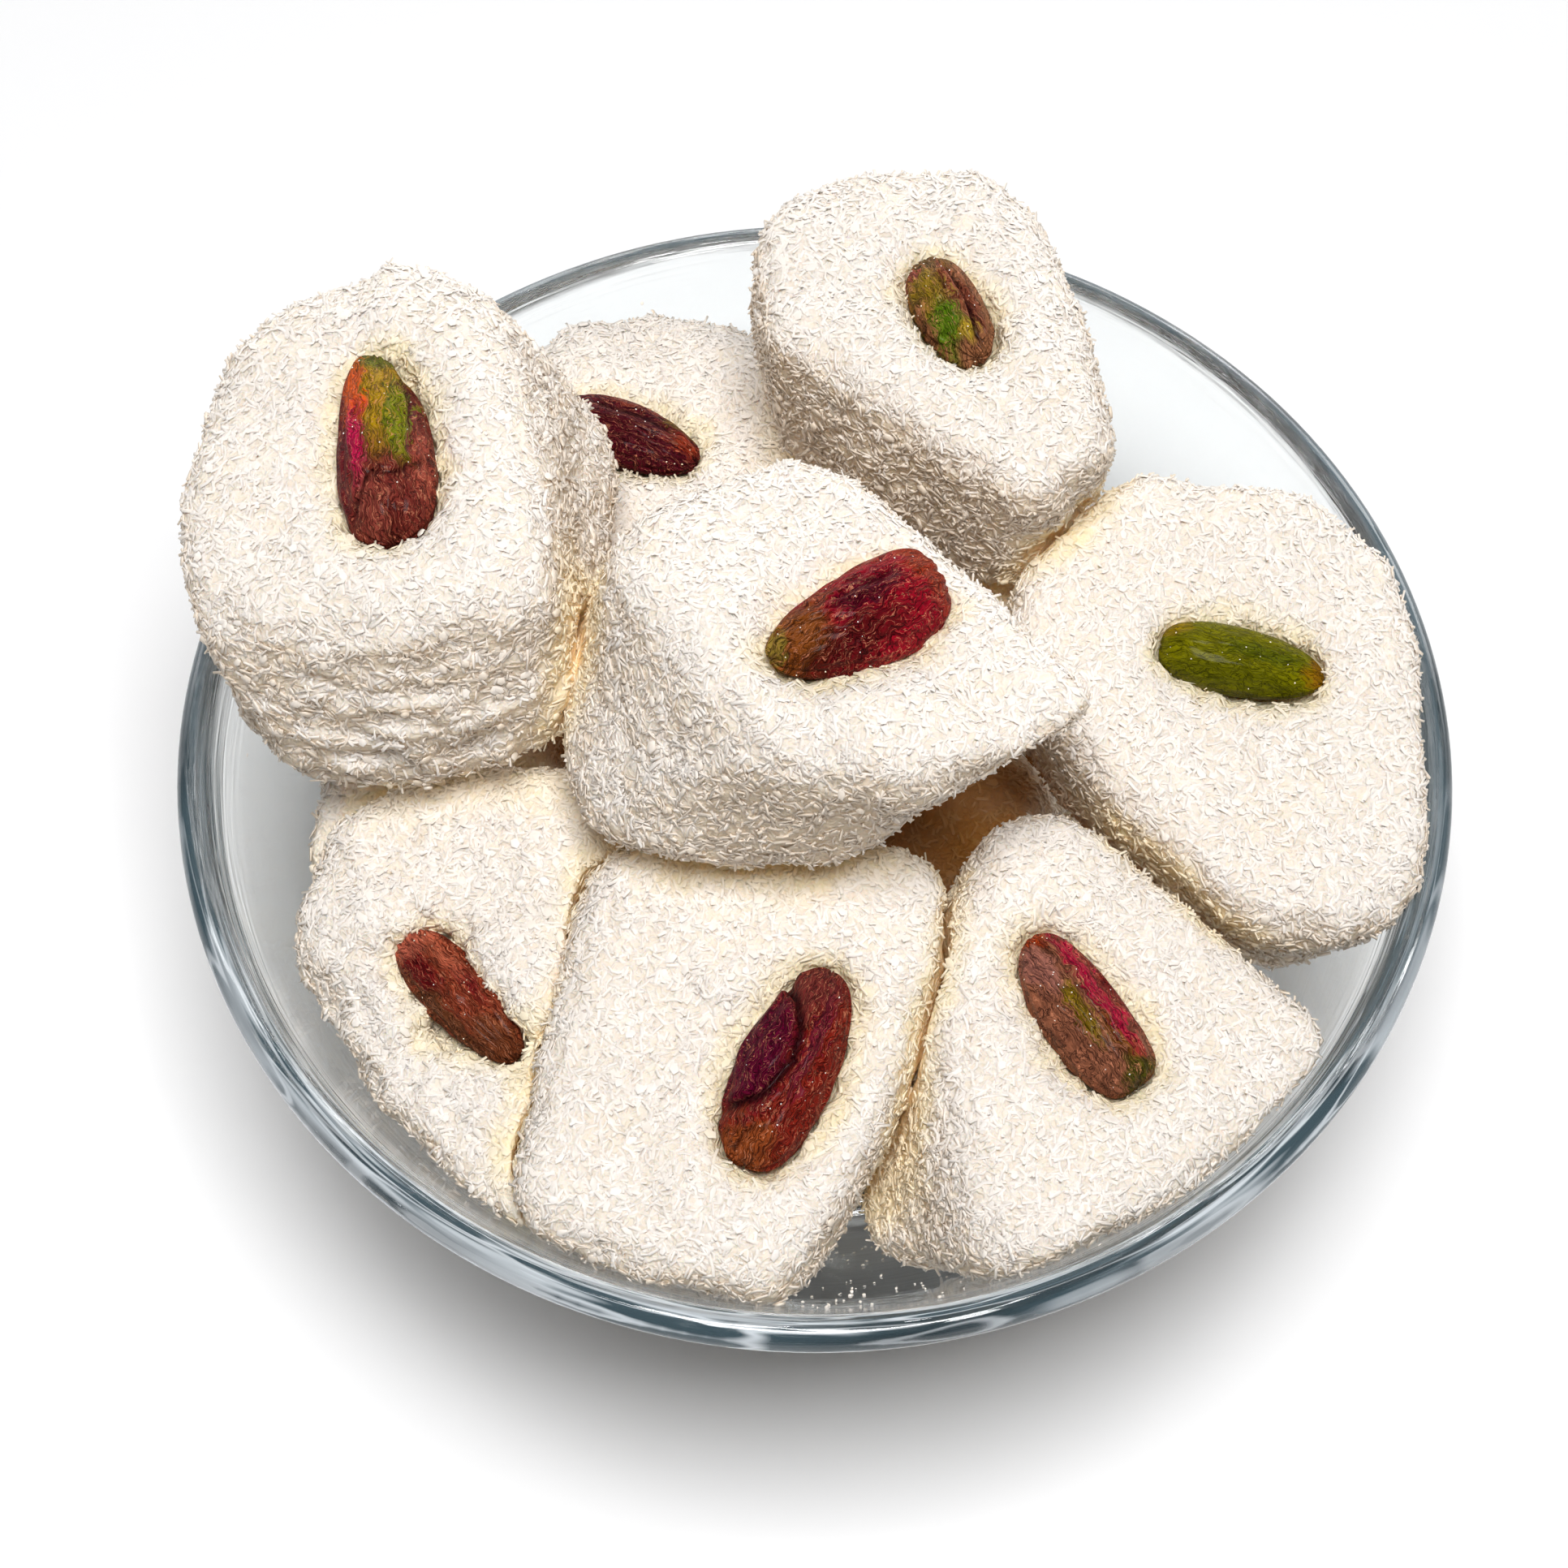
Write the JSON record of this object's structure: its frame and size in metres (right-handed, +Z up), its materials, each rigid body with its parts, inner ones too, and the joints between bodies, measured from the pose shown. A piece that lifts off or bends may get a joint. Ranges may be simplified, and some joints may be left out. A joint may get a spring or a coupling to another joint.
{
  "type": "turkish delight in a glass bowl",
  "caption": "Round clear glass bowl heaped with hand-cut sweets coated in shredded coconut, a pistachio kernel pressed into the top of each one that shows.",
  "frame": {"origin": "centre of the bowl's foot, on the surface it stands on", "axes": "+Z up through the middle of the bowl; +X to the right and -Y to the front as the heap is seen"},
  "size_m": [0.12, 0.12, 0.0881],
  "materials": {
    "glass": "clear, smooth, fire-polished",
    "coconut": "matt, covered in fine dry coconut shreds",
    "pistachio_red": "wrinkled maroon-brown kernel skin, slightly waxy",
    "pistachio_green": "skinned kernel, olive green, slightly waxy"
  },
  "bodies": {
    "root": {"bowl": "glass", "sweet_centre_top": "coconut", "sweet_left_upper": "coconut", "sweet_back_upper": "coconut", "sweet_front_middle": "coconut", "sweet_front_right": "coconut", "sweet_right": "coconut", "sweet_front_left": "coconut", "sweet_back_low": "coconut", "sweet_left_under": "coconut", "sweet_middle_under": "coconut", "sweet_back_under": "coconut", "sweet_floor_left": "coconut", "sweet_floor_right": "coconut", "pistachio_centre_top": "pistachio_red", "pistachio_left_upper": "pistachio_red", "pistachio_back_upper": "pistachio_red", "pistachio_front_middle": "pistachio_red", "pistachio_front_right": "pistachio_red", "pistachio_right": "pistachio_green", "pistachio_front_left": "pistachio_red", "pistachio_back_low": "pistachio_red"}
  },
  "joints": []
}
